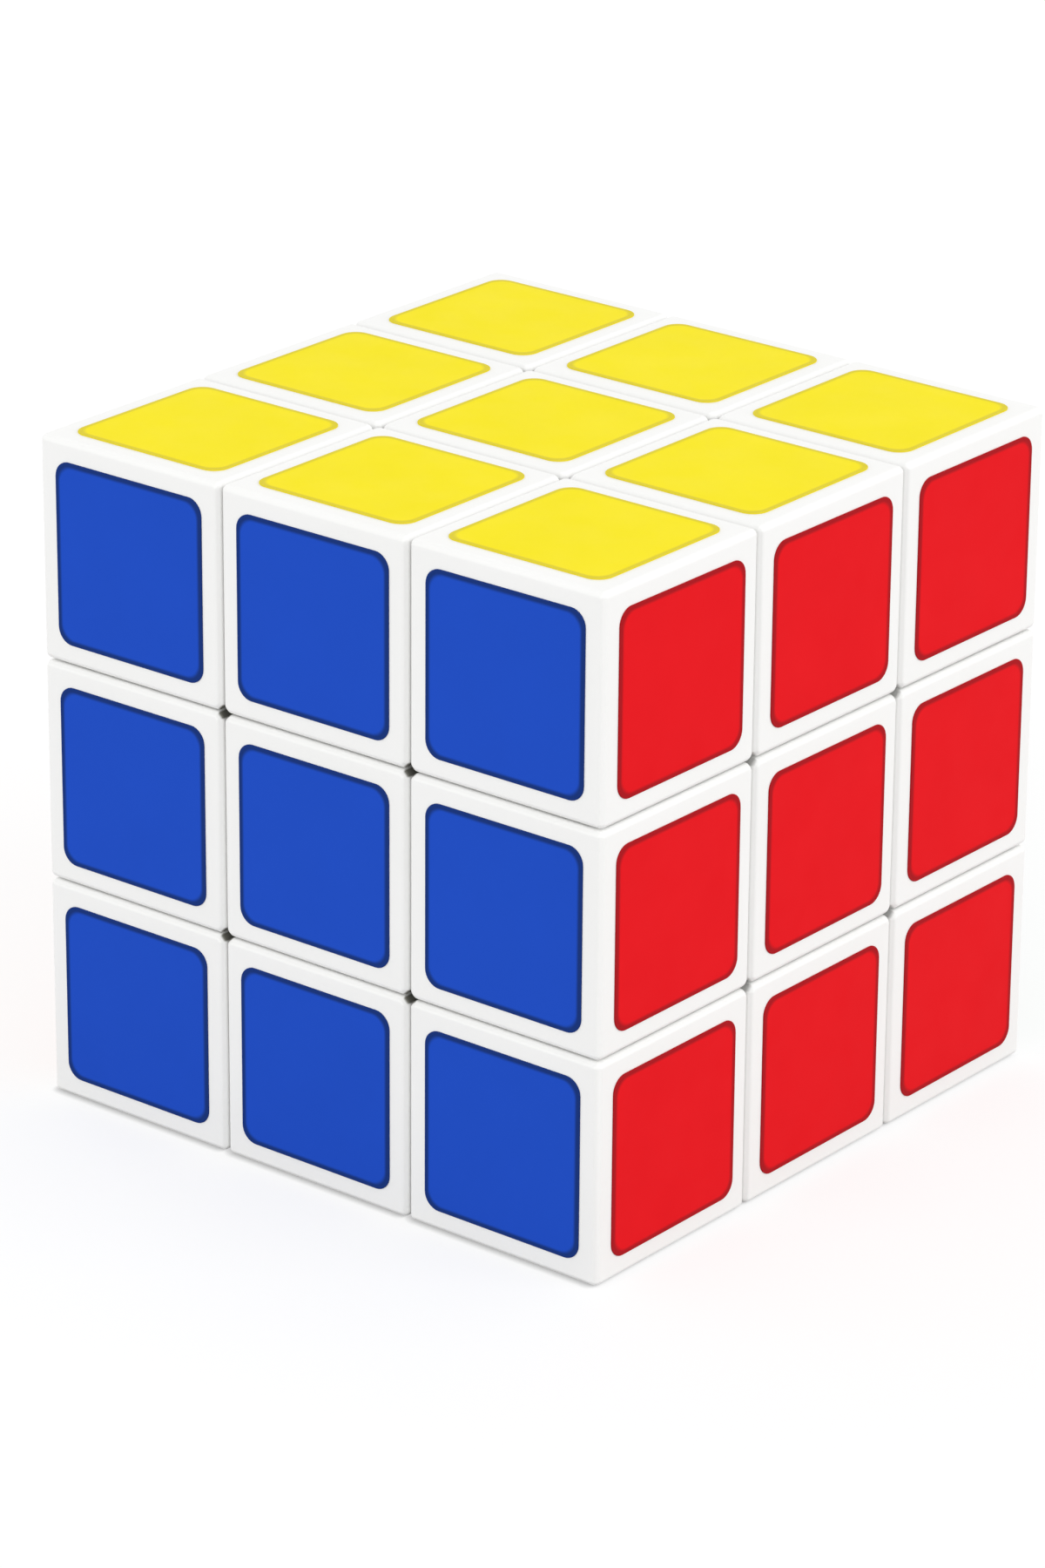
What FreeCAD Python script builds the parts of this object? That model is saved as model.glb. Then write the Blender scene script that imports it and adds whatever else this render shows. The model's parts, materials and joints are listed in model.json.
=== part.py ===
import FreeCAD, Part

import math
import os
import re

import Sketcher
from FreeCAD import Placement, Rotation, Vector

# A 3 x 3 x 3 twisty puzzle cube in millimetres, +Z up, with its origin at the centre of the core.
# A core with six arms carries six sprung centres. Twelve edges and eight corners hook under them
# with feet that run in round tracks about the three turning axes, so that any face turns.
#
# Seen across a turning axis, the cube is nested in bands of distance from the middle plane:
#   from foot_cut to half a pitch, feet reach under the neighbouring shells and centres;
#   from lip_cut to foot_cut, the lips of the edges reach under the feet and centres beside them;
#   inside lip_cut there are only the stems of the centres and the arms of the core.

SIZES = {
    # outer cubies
    "cubie_pitch": 19.0,
    "cubie_gap": 0.16,
    "face_bevel": 0.35,
    "side_bevel": 0.45,
    "shell_wall": 1.5,
    # interlocking feet
    "foot_cut": 6.0,
    "foot_rise": 8.92,
    "foot_tip": 12.5,
    "wing_depth": 5.0,
    "lip_cut": 4.0,
    "lip_notch": 8.4,
    "track_clearance": 0.25,
    # plugs that hold a foot in its shell
    "plug_size": 5.5,
    "plug_width": 7.0,
    "plug_clearance": 0.05,
    "plug_wall": 1.2,
    # centres
    "cap_thickness": 2.0,
    "rim_depth": 2.2,
    "rim_wall": 1.0,
    "rim_clearance": 0.05,
    "well_wall": 1.2,
    "well_floor_wall": 0.85,
    "stem_start": 10.6,
    # core
    "arm_gap": 0.2,
    "arm_clearance": 0.2,
    "hub_width": 10.0,
    "hub_chamfer": 1.4,
    # screws and springs
    "screw_radius": 1.3,
    "screw_bite": 6.0,
    "bore_clearance": 0.3,
    "head_radius": 3.1,
    "head_height": 1.9,
    "spring_length": 5.4,
    "spring_radius": 2.9,
    "spring_wire": 0.6,
    "spring_turns": 3.0,
}

# Sizes that follow from the ones above.
DERIVED = {
    "cube_half": "1.5 * cubie_pitch",
    "shell_start": "(cubie_pitch + cubie_gap) / 2",
    "shell_side": "cubie_pitch - cubie_gap",
    "foot_start": "foot_cut + cubie_gap / 2",
    "foot_half": "foot_cut - cubie_gap / 2",
    "lip_start": "lip_cut + cubie_gap / 2",
    "lip_half": "lip_cut - cubie_gap / 2",
    "foot_radius": "shell_start + foot_rise",
    "foot_track": "foot_radius + track_clearance",
    "lip_radius": "foot_radius - wing_depth",
    "lip_track": "lip_radius + track_clearance",
    "foot_reach": "sqrt(foot_radius ^ 2 - shell_start ^ 2)",
    "lip_reach": "sqrt(lip_radius ^ 2 - foot_start ^ 2)",
    "plug_end": "shell_start + plug_size - plug_clearance",
    "base_top": "cube_half - cap_thickness",
    "well_half": "foot_half - well_wall",
    "well_floor": "lip_track + well_floor_wall",
    "head_seat": "well_floor + spring_length",
    "arm_end": "stem_start - arm_gap",
    "arm_half": "(lip_start - arm_clearance) / sqrt(2)",
    "bore_radius": "screw_radius + bore_clearance",
}

FACES = {
    "up": Vector(0, 0, 1),
    "down": Vector(0, 0, -1),
    "front": Vector(0, -1, 0),
    "back": Vector(0, 1, 0),
    "right": Vector(1, 0, 0),
    "left": Vector(-1, 0, 0),
}
AXIS_PAIRS = (("up", "down"), ("front", "back"), ("right", "left"))
SPRING_STATIONS_PER_TURN = 4
NEARLY = 0.01  # how far an edge may lie from where it is looked for

doc = FreeCAD.newDocument("puzzle_cube")


def make_sheet():
    sheet = doc.addObject("Spreadsheet::Sheet", "sizes")
    cells = {name: str(value) for name, value in SIZES.items()}
    cells |= {name: f"={formula}" for name, formula in DERIVED.items()}
    for row, (name, text) in enumerate(cells.items(), start=1):
        sheet.set(f"A{row}", name)
        sheet.set(f"B{row}", text)
        sheet.setAlias(f"B{row}", name)
    doc.recompute()
    return sheet


sheet = make_sheet()


def size(name):
    return float(sheet.get(name))


def from_sheet(text):
    """The expression text with each word turned into a cell of the sheet."""
    return re.sub(r"[a-z_]*_[a-z_]+", r"sizes.\g<0>", text)


def bind(thing, **expressions):
    """Bind properties to expressions over the sheet; x, y and z move the thing itself."""
    for name, text in expressions.items():
        target = f"Placement.Base.{name}" if name in ("x", "y", "z") else name
        thing.setExpression(target, from_sheet(text))
    return thing


# ---------------------------------------------------------------- bodies, sketches and features


def new_body(name):
    return doc.addObject("PartDesign::Body", name)


def sketch_on(body, name, role, offset="0"):
    """An empty sketch on one of the body's origin planes, moved along its normal by offset."""
    sketch = body.newObject("Sketcher::SketchObject", name)
    plane = next(part for part in body.Origin.OriginFeatures if part.Role == role)
    sketch.AttachmentSupport = [(plane, "")]
    sketch.MapMode = "FlatFace"
    sketch.setExpression("AttachmentOffset.Base.z", from_sheet(offset))
    return sketch


def constrain(sketch, kind, *arguments, to=None):
    """Add a constraint, and bind its value to the expression in to."""
    index = sketch.addConstraint(Sketcher.Constraint(kind, *arguments))
    if to is not None:
        sketch.setExpression(f"Constraints[{index}]", from_sheet(to))


def pin_point(sketch, geometry, point, across, up):
    """Hold a point at two expressions measured from the sketch's origin."""
    here = sketch.getPoint(geometry, point)
    constrain(sketch, "DistanceX", -1, 1, geometry, point, here.x, to=across)
    constrain(sketch, "DistanceY", -1, 1, geometry, point, here.y, to=up)


def draw_circle(sketch, radius):
    circle = sketch.addGeometry(Part.Circle(Vector(), Vector(0, 0, 1), 1))
    constrain(sketch, "Coincident", circle, 3, -1, 1)
    constrain(sketch, "Radius", circle, 1.0, to=radius)


def draw_outline(sketch, corners):
    """A closed outline of straight lines through corners, each a pair of expressions."""
    places = [Vector(*(sketch.evalExpression(from_sheet(text)) for text in c)) for c in corners]
    lines = [
        sketch.addGeometry(Part.LineSegment(start, end))
        for start, end in zip(places, places[1:] + places[:1])
    ]
    for line, following, corner in zip(lines, lines[1:] + lines[:1], corners):
        constrain(sketch, "Coincident", line, 2, following, 1)
        pin_point(sketch, line, 1, *corner)


def draw_rectangle(sketch, left, right, bottom, top):
    draw_outline(sketch, [(left, bottom), (right, bottom), (right, top), (left, top)])


def draw_square(sketch, half):
    draw_rectangle(sketch, f"-{half}", half, f"-{half}", half)


def draw_bevelled_square(sketch, start, end, radius):
    """A square from start to end both ways, whose inner corner is an arc about the origin."""
    near, far, reach = (
        sketch.evalExpression(from_sheet(text)) for text in (start, end, radius)
    )
    along = math.sqrt(reach**2 - near**2)
    places = ((near, along), (near, far), (far, far), (far, near), (along, near))
    corners = [Vector(*place) for place in places]
    lines = [sketch.addGeometry(Part.LineSegment(a, b)) for a, b in zip(corners, corners[1:])]
    angles = math.atan2(near, along), math.atan2(along, near)
    circle = Part.Circle(Vector(), Vector(0, 0, 1), reach)
    arc = sketch.addGeometry(Part.ArcOfCircle(circle, *angles))
    for line, following in zip(lines, lines[1:]):
        constrain(sketch, "Coincident", line, 2, following, 1)
    constrain(sketch, "Coincident", arc, 3, -1, 1)
    constrain(sketch, "Radius", arc, reach, to=radius)
    constrain(sketch, "Coincident", arc, 2, lines[0], 1)
    constrain(sketch, "Coincident", arc, 1, lines[-1], 2)
    pin_point(sketch, lines[1], 1, start, end)
    pin_point(sketch, lines[2], 1, end, end)
    pin_point(sketch, lines[3], 1, end, start)
    constrain(sketch, "Vertical", lines[0])
    constrain(sketch, "Horizontal", lines[3])


def feature(body, kind, name, sketch, length=None, **settings):
    """A pad, pocket or revolution of a sketch, bound to its length."""
    made = body.newObject(f"PartDesign::{kind}", name)
    made.Profile = sketch
    for key, value in settings.items():
        setattr(made, key, value)
    if length is not None:
        made.setExpression("Length", from_sheet(length))
    doc.recompute()
    return made


def bevel_edges(body, name, base, edges, width):
    made = body.newObject("PartDesign::Chamfer", name)
    made.Base = (base, edges)
    made.setExpression("Size", from_sheet(width))
    doc.recompute()
    return made


def edges_where(shape, test):
    """The names of the edges whose middle passes a test."""
    return [
        f"Edge{i}"
        for i, edge in enumerate(shape.Edges, start=1)
        if test(edge.CenterOfMass)
    ]


def bevel_cubie(body, name, block, above=0.0):
    """Bevel the edges between a cubie's hidden sides, if they lie above a height, and then those
    all round its outer faces."""
    face = size("cube_half") - NEARLY
    sides = edges_where(block.Shape, lambda at: above < max(at) < face)
    sided = bevel_edges(body, f"{name}_side_bevel", block, sides, "side_bevel")
    rims = edges_where(sided.Shape, lambda at: max(at) > face)
    bevel_edges(body, f"{name}_face_bevel", sided, rims, "face_bevel")


# ---------------------------------------------------------------- primitives and booleans


def box(name, starts, ends):
    """A box between two corners, each three expressions."""
    made = doc.addObject("Part::Box", name)
    bind(made, x=starts[0], y=starts[1], z=starts[2])
    for side, start, end in zip(("Length", "Width", "Height"), starts, ends):
        made.setExpression(side, from_sheet(f"({end}) - ({start})"))
    return made


def cylinder(name, axis, radius, start, end):
    """A cylinder along one of the axes x, y and z, from start to end."""
    made = doc.addObject("Part::Cylinder", name)
    direction = {"x": Vector(1, 0, 0), "y": Vector(0, 1, 0), "z": Vector(0, 0, 1)}[axis]
    made.Placement = Placement(Vector(), Rotation(Vector(0, 0, 1), direction))
    bind(made, Radius=radius, Height=f"({end}) - ({start})")
    return bind(made, **{axis: start})


def diagonal_cylinder(name, radius, height):
    """A cylinder from the origin along the diagonal through a corner cubie."""
    made = doc.addObject("Part::Cylinder", name)
    made.Placement = Placement(Vector(), Rotation(Vector(0, 0, 1), Vector(1, 1, 1)))
    return bind(made, Radius=radius, Height=height)


def common(name, parts):
    made = doc.addObject("Part::MultiCommon", name)
    made.Shapes = parts
    return made


def fuse(name, parts):
    made = doc.addObject("Part::MultiFuse", name)
    made.Shapes = parts
    return made


def cut(name, base, tool):
    made = doc.addObject("Part::Cut", name)
    made.Base = base
    made.Tool = tool
    return made


# ---------------------------------------------------------------- the corner cubie


def build_corner_shell():
    """A hollow cubie with three outer faces, notched at its inner corner for the foot's plug."""
    body = new_body("corner_shell")
    outline = sketch_on(body, "corner_shell_outline", "XY_Plane", "shell_start")
    draw_rectangle(outline, "shell_start", "cube_half", "shell_start", "cube_half")
    block = feature(body, "Pad", "corner_shell_block", outline, "cube_half - shell_start")
    bevel_cubie(body, "corner_shell", block)
    inside = sketch_on(body, "corner_shell_inside", "XY_Plane", "shell_start + shell_wall")
    edges = ("shell_start + shell_wall", "cube_half - shell_wall")
    draw_rectangle(inside, *edges, *edges)
    feature(
        body, "Pocket", "corner_shell_cavity", inside,
        "cube_half - shell_start - 2 * shell_wall", Reversed=True,
    )
    notch = sketch_on(body, "corner_shell_notch_outline", "XY_Plane", "shell_start")
    edges = ("shell_start", "shell_start + plug_size")
    draw_rectangle(notch, *edges, *edges)
    feature(body, "Pocket", "corner_shell_notch", notch, "plug_size", Reversed=True)
    return body


def build_corner_foot():
    """The foot under a corner: three wings for the edges beside it, and a plug into the shell."""
    block = box("corner_foot_block", ["foot_start"] * 3, ["foot_reach"] * 3)
    rollers = [
        cylinder(f"corner_foot_{axis}_roller", axis, "foot_radius", "0", "2 * foot_radius")
        for axis in ("x", "y", "z")
    ]
    turned = common("corner_foot_turned", [block, *rollers])
    shell_space = box("corner_foot_shell_space", ["shell_start"] * 3, ["cube_half"] * 3)
    wings = cut("corner_foot_wings", turned, shell_space)
    tip = diagonal_cylinder("corner_foot_tip", "foot_radius", "foot_tip")
    tipped = cut("corner_foot_tipped", wings, tip)
    plug = box("corner_foot_plug", ["shell_start"] * 3, ["plug_end"] * 3)
    hollow = box("corner_foot_hollow", ["shell_start + plug_wall"] * 3, ["cube_half"] * 3)
    return cut("corner_foot", fuse("corner_foot_whole", [tipped, plug]), hollow)


# ---------------------------------------------------------------- the edge cubie


def build_edge_shell():
    """A hollow cubie with two outer faces, whose inner side is a track for the corners' feet."""
    body = new_body("edge_shell")
    outline = sketch_on(body, "edge_shell_outline", "YZ_Plane")
    draw_bevelled_square(outline, "shell_start", "cube_half", "foot_track")
    block = feature(body, "Pad", "edge_shell_block", outline, "shell_side", SideType="Symmetric")
    track_end = math.sqrt(size("foot_track") ** 2 - size("shell_start") ** 2)
    bevel_cubie(body, "edge_shell", block, track_end + NEARLY)
    inside = sketch_on(body, "edge_shell_inside", "YZ_Plane")
    near, far = "shell_start + shell_wall", "cube_half - shell_wall"
    clear = "(sqrt(2) * (foot_track + shell_wall) - shell_start - shell_wall)"
    draw_outline(inside, [(near, clear), (near, far), (far, far), (far, near), (clear, near)])
    feature(
        body, "Pocket", "edge_shell_cavity", inside, "shell_side - 2 * shell_wall",
        SideType="Symmetric",
    )
    window = sketch_on(body, "edge_shell_window_outline", "YZ_Plane")
    edges = ("shell_start + shell_wall", "shell_start + plug_size")
    draw_rectangle(window, *edges, *edges)
    feature(body, "Pocket", "edge_shell_window", window, "plug_width", SideType="Symmetric")
    return body


def build_edge_foot():
    """The foot under an edge: wings for the centres, lips below them and a plug into the shell."""
    wings = new_body("edge_foot_wings")
    outline = sketch_on(wings, "edge_foot_wings_outline", "YZ_Plane")
    start, side, reach = "foot_start", "shell_start", "foot_reach"
    inner = "(sqrt(2) * lip_track - foot_start)"
    corners = [(start, inner), (start, reach), (side, reach)]
    draw_outline(outline, corners + [(up, across) for across, up in reversed(corners)])
    feature(wings, "Pad", "edge_foot_plate", outline, "2 * foot_half", SideType="Symmetric")
    lip = box(
        "edge_foot_lip",
        ["-lip_half", "lip_start", "lip_start"],
        ["lip_half", "lip_reach", "lip_reach"],
    )
    plug_start = "shell_start + shell_wall + plug_clearance"
    plug_half = "(plug_width / 2 - plug_clearance)"
    plug = box(
        "edge_foot_plug",
        [f"-{plug_half}", plug_start, plug_start],
        [plug_half, "plug_end", "plug_end"],
    )
    whole = fuse("edge_foot_whole", [wings, lip, plug])
    notch = box("edge_foot_notch", ["-foot_cut", "0", "0"], ["foot_cut", "lip_notch", "lip_notch"])
    hollow_half = "(plug_width / 2 - plug_clearance - plug_wall)"
    hollow = box(
        "edge_foot_hollow",
        [f"-{hollow_half}", f"{plug_start} + plug_wall", f"{plug_start} + plug_wall"],
        [hollow_half, "cube_half", "cube_half"],
    )
    return cut("edge_foot", whole, fuse("edge_foot_clearings", [notch, hollow]))


# ---------------------------------------------------------------- the centres


def build_centre_base():
    """The sprung centre: tracks for the feet below, a stem over the arm and a well for the spring."""
    body = new_body("centre_base")
    outline = sketch_on(body, "centre_base_outline", "XY_Plane", "stem_start")
    draw_square(outline, "shell_side / 2")
    block = feature(body, "Pad", "centre_base_block", outline, "base_top - stem_start")
    upright = edges_where(block.Shape, lambda at: abs(abs(at.x) - abs(at.y)) < NEARLY)
    bevel_edges(body, "centre_base_bevel", block, upright, "side_bevel")
    add_tracks(body, "foot", "foot_half", "foot_track")
    add_tracks(body, "lip", "lip_half", "lip_track")
    hollow = sketch_on(body, "centre_hollow_outline", "XY_Plane", "base_top")
    draw_square(hollow, "(shell_side / 2 - shell_wall)")
    feature(body, "Pocket", "centre_hollow", hollow, "base_top - foot_track - shell_wall")
    well = sketch_on(body, "centre_well_outline", "XY_Plane", "base_top")
    draw_square(well, "well_half")
    feature(body, "Pocket", "centre_well", well, "base_top - well_floor")
    bore = sketch_on(body, "centre_bore_outline", "XY_Plane", "base_top")
    draw_circle(bore, "bore_radius")
    feature(body, "Pocket", "centre_bore", bore, "base_top")
    return body


def add_tracks(body, name, inner_half, radius):
    """Cut the four round tracks in which feet or lips pass beside the centre."""
    circle = sketch_on(body, f"centre_{name}_track_outline", "YZ_Plane", inner_half)
    draw_circle(circle, radius)
    track = feature(
        body, "Pocket", f"centre_{name}_track", circle, "cubie_pitch", Reversed=True
    )
    around = body.newObject("PartDesign::PolarPattern", f"centre_{name}_tracks")
    around.Originals = [track]
    axis = next(part for part in body.Origin.OriginFeatures if part.Role == "Z_Axis")
    around.Axis = (axis, [""])
    around.Angle = 360
    around.Occurrences = 4
    body.Tip = around
    doc.recompute()


def build_centre_cap():
    """The square cap over the screw, with a rim that snaps inside the walls of the base."""
    body = new_body("centre_cap")
    outline = sketch_on(body, "centre_cap_outline", "XY_Plane", "base_top")
    draw_square(outline, "shell_side / 2")
    plate = feature(body, "Pad", "centre_cap_plate", outline, "cap_thickness")
    bevel_cubie(body, "centre_cap", plate, size("base_top") + NEARLY)
    ring = sketch_on(body, "centre_cap_rim_outline", "XY_Plane", "base_top")
    draw_square(ring, "(shell_side / 2 - shell_wall - rim_clearance)")
    draw_square(ring, "(shell_side / 2 - shell_wall - rim_clearance - rim_wall)")
    feature(body, "Pad", "centre_cap_rim", ring, "rim_depth", Reversed=True)
    return body


# ---------------------------------------------------------------- the core and its fasteners


def make_arms(along):
    """The two square arms along one axis, as one bar through the hub."""
    ends = ["arm_end" if i == along else "arm_half" for i in range(3)]
    return box(f"core_arms_{along}", [f"-{end}" for end in ends], ends)


def build_core():
    """A chamfered hub with six square arms, each bored for its screw."""
    half = "hub_width / 2"
    hub = box("core_hub_block", [f"-{half}"] * 3, [half] * 3)
    bevelled = doc.addObject("Part::Chamfer", "core_hub")
    bevelled.Base = hub
    doc.recompute()
    depth = size("hub_chamfer")
    bevelled.Edges = [(i, depth, depth) for i in range(1, len(hub.Shape.Edges) + 1)]
    arms = [make_arms(i) for i in range(3)]
    star = fuse("core_star", [bevelled, *arms])
    pilots = [
        cylinder(f"core_{axis}_pilot_{side}", axis, "screw_radius", *ends)
        for axis in ("x", "y", "z")
        for side, ends in (
            ("near", ("-arm_end", "screw_bite - arm_end")),
            ("far", ("arm_end - screw_bite", "arm_end")),
        )
    ]
    return cut("core_bored", star, fuse("core_pilots", pilots))


def build_screw():
    """A pan-head screw along +Z, without its threads and its cross recess."""
    body = new_body("screw")
    profile = sketch_on(body, "screw_profile", "XZ_Plane")
    foot, seat, top = "arm_end - screw_bite", "head_seat", "head_seat + head_height"
    draw_outline(
        profile,
        [
            ("0", foot),
            ("screw_radius", foot),
            ("screw_radius", seat),
            ("head_radius", seat),
            ("head_radius", top),
            ("0", top),
        ],
    )
    axis = next(part for part in body.Origin.OriginFeatures if part.Role == "Z_Axis")
    feature(body, "Revolution", "screw_turning", profile, ReferenceAxis=(axis, [""]), Angle=360)
    return body


def build_spring():
    """A compression spring lofted through square stations along a helix."""
    turns, wire = size("spring_turns"), size("spring_wire")
    mean = size("spring_radius") - wire / 2
    rise = size("spring_length") - wire
    count = round(turns * SPRING_STATIONS_PER_TURN)
    stations = []
    for i in range(count + 1):
        angle = 2 * math.pi * turns * i / count
        middle = size("well_floor") + wire / 2 + rise * i / count
        radial = Vector(math.cos(angle), math.sin(angle), 0)
        corners = [
            radial * (mean + across * wire / 2) + Vector(0, 0, middle + up * wire / 2)
            for across, up in ((-1, -1), (1, -1), (1, 1), (-1, 1))
        ]
        stations.append(Part.makePolygon(corners + corners[:1]))
    made = doc.addObject("Part::Feature", "spring")
    made.Shape = Part.makeLoft(stations, True, True)
    return made


# ---------------------------------------------------------------- placing every piece


def turned_to(across, up):
    """The rotation that takes +Y to across, +Z to up, and +X to their cross product."""
    return Rotation(across.cross(up), across, up, "ZYX")


def place(master, label, rotation):
    """Another copy of a master piece under a label of its own, turned about the core's centre."""
    made = doc.addObject("App::Link", label)
    made.LinkedObject = master
    made.Label = label
    made.Placement = Placement(Vector(), rotation)
    return made


def place_group(master, label):
    """One group with a copy of a small part on every arm."""
    copies = [
        place(master, f"{label}_{face}", Rotation(Vector(0, 0, 1), axis))
        for face, axis in FACES.items()
    ]
    group = doc.addObject("Part::Compound", label)
    group.Links = copies
    return group


def place_centres(base, cap):
    for face, axis in FACES.items():
        rotation = Rotation(Vector(0, 0, 1), axis)
        yield place(base, f"centre_{face}_base", rotation)
        yield place(cap, f"centre_{face}_cap", rotation)


def place_edges(shell, foot):
    for i, pair in enumerate(AXIS_PAIRS):
        for other in AXIS_PAIRS[i + 1 :]:
            for first in pair:
                for second in other:
                    rotation = turned_to(FACES[second], FACES[first])
                    yield place(shell, f"edge_{first}_{second}_shell", rotation)
                    yield place(foot, f"edge_{first}_{second}_foot", rotation)


def place_corners(shell, foot):
    for first in AXIS_PAIRS[0]:
        for second in AXIS_PAIRS[1]:
            for third in AXIS_PAIRS[2]:
                up, across, along = FACES[first], FACES[second], FACES[third]
                if across.cross(up).dot(along) < 0:
                    across = along
                rotation = turned_to(across, up)
                yield place(shell, f"corner_{first}_{second}_{third}_shell", rotation)
                yield place(foot, f"corner_{first}_{second}_{third}_foot", rotation)


def build_cube():
    core = place(build_core(), "core", Rotation())
    fasteners = [
        place_group(build_screw(), "core_screws"),
        place_group(build_spring(), "centre_springs"),
    ]
    centres = place_centres(build_centre_base(), build_centre_cap())
    edges = place_edges(build_edge_shell(), build_edge_foot())
    corners = place_corners(build_corner_shell(), build_corner_foot())
    return [core, *fasteners, *centres, *edges, *corners]


def check(parts):
    """Stop before anything is written if an object failed or a piece isn't a sound solid."""
    for thing in doc.Objects:
        if {"Invalid", "Error"} & set(thing.State):
            raise RuntimeError(f"{thing.Label}: {thing.State}")
    for part in parts:
        if part.Shape.isNull() or not part.Shape.isValid() or not part.Shape.Solids:
            raise RuntimeError(f"{part.Label} is not a sound solid")


def write(parts):
    os.makedirs("parts", exist_ok=True)
    for part in parts:
        part.Shape.exportStep(f"parts/{part.Label}.step")


sub_parts = build_cube()
doc.recompute()
check(sub_parts)
write(sub_parts)
print(len(sub_parts), "sub-parts written")
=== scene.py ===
"""A 3 x 3 x 3 twisty puzzle cube: white moulded cubies with a vinyl sticker on every outer face."""

import json
import math

import bpy
from mathutils import Euler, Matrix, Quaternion, Vector


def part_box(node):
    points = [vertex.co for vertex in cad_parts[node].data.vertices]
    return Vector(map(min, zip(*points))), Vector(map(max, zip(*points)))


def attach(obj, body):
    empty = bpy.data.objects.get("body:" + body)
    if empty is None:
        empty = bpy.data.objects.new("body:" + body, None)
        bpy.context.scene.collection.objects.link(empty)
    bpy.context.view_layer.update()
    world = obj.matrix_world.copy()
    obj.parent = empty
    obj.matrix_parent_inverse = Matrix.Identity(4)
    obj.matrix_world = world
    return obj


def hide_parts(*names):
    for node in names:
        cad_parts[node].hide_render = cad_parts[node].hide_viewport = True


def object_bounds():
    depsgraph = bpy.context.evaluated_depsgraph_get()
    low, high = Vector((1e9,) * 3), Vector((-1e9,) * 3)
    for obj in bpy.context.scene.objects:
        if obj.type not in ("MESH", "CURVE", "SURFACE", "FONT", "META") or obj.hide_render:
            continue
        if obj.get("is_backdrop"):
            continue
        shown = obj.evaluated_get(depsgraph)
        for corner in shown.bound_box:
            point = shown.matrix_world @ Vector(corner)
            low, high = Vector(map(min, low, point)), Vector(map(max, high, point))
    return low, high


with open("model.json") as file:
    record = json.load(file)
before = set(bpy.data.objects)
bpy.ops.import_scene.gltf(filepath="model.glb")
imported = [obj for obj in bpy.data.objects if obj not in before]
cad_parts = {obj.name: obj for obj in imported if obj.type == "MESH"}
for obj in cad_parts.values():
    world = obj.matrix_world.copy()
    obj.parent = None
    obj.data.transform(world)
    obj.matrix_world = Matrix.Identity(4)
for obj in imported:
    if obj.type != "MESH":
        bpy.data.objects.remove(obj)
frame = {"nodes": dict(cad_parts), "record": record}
cad_low, cad_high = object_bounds()

MM = 0.001

# Where the viewer stands: the angle round the cube from its front, the height above its middle,
# the distance and the lens.
VIEW_AZIMUTH = 38.68
VIEW_ELEVATION = 21.70
VIEW_DISTANCE = 0.4969
VIEW_ROLL = 0.512
LENS_MM = 140.25
FILM_MM = 36.0
SHIFT_X = -0.0133
SHIFT_Y = -0.0202

# A die-cut square of vinyl film on each outer face of a cubie. It is sunk a little into the
# plastic so that no gap shows under it.
STICKER_WIDTH = 15.4 * MM
STICKER_CORNER = 1.4 * MM
STICKER_FILM = 0.1 * MM
STICKER_ROLLED_EDGE = 0.03 * MM
STICKER_PRESSED_IN = 0.02 * MM
STICKER_RIM = 0.6 * MM
CORNER_STEPS = 8

# The six coils, which stand on the floors of the centres' wells.
COIL_SEAT = 14.6 * MM
COIL_LENGTH = 5.4 * MM
COIL_WIDTH = 5.8 * MM
COIL_WIRE = 0.6 * MM
COIL_TURNS = 3.0
COIL_STEPS = 24
WIRE_SIDES = 10

# The six pan-head screws, whose heads press on the coils and whose threads bite into the arms.
SCREW_TIP = 4.4 * MM
SCREW_SEAT = 20.0 * MM
SHANK_WIDTH = 2.6 * MM
HEAD_WIDTH = 6.2 * MM
HEAD_HEIGHT = 1.9 * MM
THREAD_LENGTH = 8.0 * MM
THREAD_PITCH = 1.0 * MM
THREAD_DEPTH = 0.25 * MM
CROSS_LENGTH = 3.4 * MM
CROSS_WIDTH = 0.8 * MM
CROSS_DEPTH = 1.1 * MM
SCREW_SIDES = 40

# The moulded rounding on each side of a cubie's bevels. Corners closer than SAME_CORNER are one,
# edges sharper than BEVELLED_ANGLE are rounded, and faces within FLAT_ANGLE of each other are one
# flat.
ROUNDING = 0.16 * MM
ROUNDING_STEPS = 3
SAME_CORNER = 0.001 * MM
BEVELLED_ANGLE = math.radians(30)
FLAT_ANGLE = math.radians(0.5)

# Where the seams and the outsides are on each axis, and the painted shade in the channels where two
# seams cross, a darker colour in the plastic that stands for the shade deep in them: how far it lies
# to each side, how far below the outside it starts, is whole and ends, how soft its border is, and
# how much of it there is in the channels that run from side to side. That it is grime is a guess,
# and how much there is was set by eye. How much there is was set to follow how much light reaches
# each side.
SEAM_AT = cad_high[0] / 3
OUTSIDE_AT = cad_high[0]
CHANNEL_SIDE = 0.5 * MM
SHADE_TOP = 0.18 * MM
SHADE_WHOLE_TO = 3 * MM
SHADE_GONE_AT = 6 * MM
SHADE_FADE = 0.15 * MM
SIDE_SHADE = 0.35

# Noise textures seldom leave the middle of their range, so this part of it is spread out.
NOISE_LOW = 0.3
NOISE_HIGH = 0.7
NOISE_ROUGHNESS = 0.55
RELIEF_STRENGTH = 0.6

# In moulded plastic: how wide the pigment's cloudy flow and the patches of gloss are, and how
# deep the sparks bit into the mould.
PIGMENT_FLOW = 9 * MM
GLOSS_PATCH = 2.5 * MM
SPARK_DEPTH = 0.006 * MM
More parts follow.
